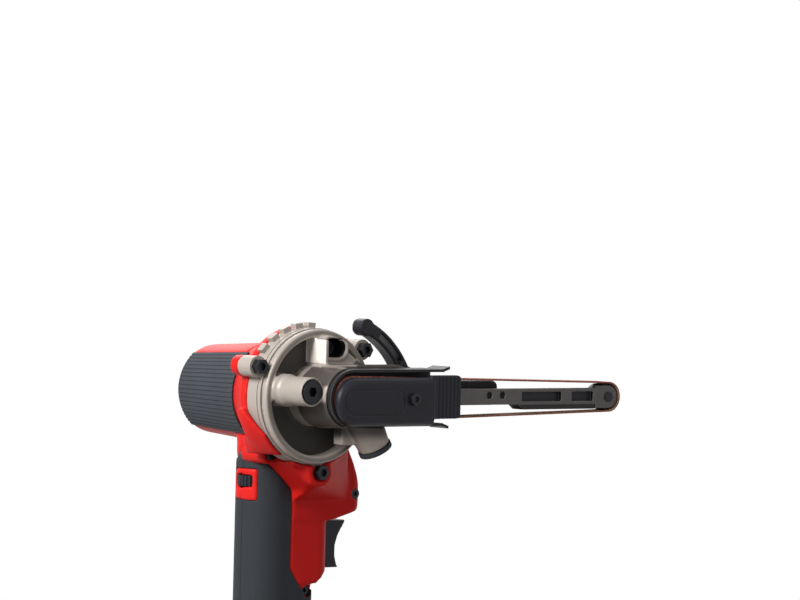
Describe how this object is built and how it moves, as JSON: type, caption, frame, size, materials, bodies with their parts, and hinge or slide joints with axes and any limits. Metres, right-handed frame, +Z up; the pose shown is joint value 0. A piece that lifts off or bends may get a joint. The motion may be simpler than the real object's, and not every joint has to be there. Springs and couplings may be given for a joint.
{
  "type": "power file",
  "caption": "Pistol-grip power file with a slim belt arm on a cast head that swivels about the motor axis, with a slide-on battery pack.",
  "frame": {"origin": "on the flat base of the battery pack, straight below the motor axis at the housing's parting plane", "axes": "+X forward along the arm at rest, +Y to the left towards the motor barrel's rear end, +Z up"},
  "size_m": [0.2506, 0.1423, 0.2727],
  "materials": {
    "red_plastic": "moulded, fine satin texture",
    "soft_grip": "soft overmould, matt",
    "cast_metal": "cast and blasted, satin",
    "dark_steel": "dark coated steel, satin",
    "black_plastic": "moulded, fine texture",
    "bright_steel": "turned steel",
    "abrasive": "abrasive grit on cloth",
    "copper": "bare copper alloy",
    "magnet": "sintered, matt",
    "board": "printed circuit board",
    "cell": "sleeved cells"
  },
  "bodies": {
    "housing": {"left_housing": "red_plastic", "right_housing": "red_plastic", "barrel_grip": "soft_grip", "left_grip": "soft_grip", "right_grip": "soft_grip", "housing_screws": "dark_steel", "collar": "cast_metal", "collar_bolts": "dark_steel", "motor_can": "bright_steel", "magnets": "magnet", "brush_plate": "black_plastic", "brushes": "magnet", "rear_bearing": "bright_steel", "front_bearing": "bright_steel", "switch_module": "black_plastic", "speed_controller": "board", "dial_pot": "black_plastic", "terminal_block": "black_plastic", "terminal_blades": "copper"},
    "drive": {"armature": "copper", "commutator": "copper", "cooling_fan": "black_plastic", "motor_shaft": "bright_steel", "drive_pulley": "dark_steel", "pulley_nut": "bright_steel"},
    "head": {"swivel_head": "cast_metal", "belt_guard": "dark_steel", "guard_screws": "bright_steel", "dust_port_ring": "soft_grip", "pulley_cover": "black_plastic", "cover_screw": "dark_steel", "lever_pin": "bright_steel", "sanding_belt": "abrasive", "tension_spring": "bright_steel"},
    "clamp_screw": {"clamp_screw": "dark_steel"},
    "belt_lever": {"belt_lever": "black_plastic"},
    "tracking_knob": {"tracking_knob": "black_plastic"},
    "arm": {"arm_slide": "bright_steel", "arm_bar": "dark_steel", "arm_screws": "bright_steel", "platen": "bright_steel", "roller_axle": "bright_steel"},
    "tip_roller": {"tip_roller": "bright_steel"},
    "trigger": {"trigger": "black_plastic"},
    "speed_dial": {"speed_dial": "black_plastic"},
    "battery": {"battery_case": "soft_grip", "battery_lid": "red_plastic", "battery_cells": "cell"},
    "battery_latch": {"battery_latch": "black_plastic"}
  },
  "joints": [
    {"name": "arm_swivel", "type": "hinge", "parent": "housing", "child": "head", "pos_m": [0, -0.046, 0.228], "axis": [0, -1, 0], "range_deg": [0, 90]},
    {"name": "drive_spin", "type": "hinge", "parent": "housing", "child": "drive", "pos_m": [0, 0, 0.228], "axis": [0, -1, 0], "continuous": true},
    {"name": "clamp_turn", "type": "hinge", "parent": "head", "child": "clamp_screw", "pos_m": [-0.0253, -0.064, 0.232], "axis": [0, -1, 0], "range_deg": [0, 360]},
    {"name": "lever_release", "type": "hinge", "parent": "head", "child": "belt_lever", "pos_m": [0.06393, -0.042, 0.23868], "axis": [0, 1, 0], "range_deg": [0, 55]},
    {"name": "arm_tension", "type": "slide", "parent": "head", "child": "arm", "axis": [1, 0, 0], "range_m": [-0.008, 0], "stiffness_N_per_m": 600, "springref_m": 0.01, "deforming": ["tension_spring"]},
    {"name": "roller_spin", "type": "hinge", "parent": "arm", "child": "tip_roller", "pos_m": [0.19515, -0.07, 0.228], "axis": [0, -1, 0], "continuous": true},
    {"name": "tracking_turn", "type": "hinge", "parent": "head", "child": "tracking_knob", "pos_m": [0.095, -0.05, 0.2295], "axis": [0, 1, 0], "range_deg": [-180, 180]},
    {"name": "trigger_pull", "type": "slide", "parent": "housing", "child": "trigger", "axis": [-1, 0, 0], "range_m": [0, 0.006], "stiffness_N_per_m": 800},
    {"name": "dial_turn", "type": "hinge", "parent": "housing", "child": "speed_dial", "pos_m": [-0.0102, 0, 0.1775], "axis": [0, 0, 1], "range_deg": [0, 270]},
    {"name": "battery_slide", "type": "slide", "parent": "housing", "child": "battery", "axis": [1, 0, 0], "range_m": [0, 0.075]},
    {"name": "latch_press", "type": "slide", "parent": "battery", "child": "battery_latch", "axis": [-1, 0, 0], "range_m": [0, 0.003], "stiffness_N_per_m": 900}
  ],
  "couplings": [
    {"joint": "roller_spin", "follows": "drive_spin", "ratio": 1.5584},
    {"joint": "lever_release", "follows": "arm_tension", "rad_per_m": -119.9}
  ]
}
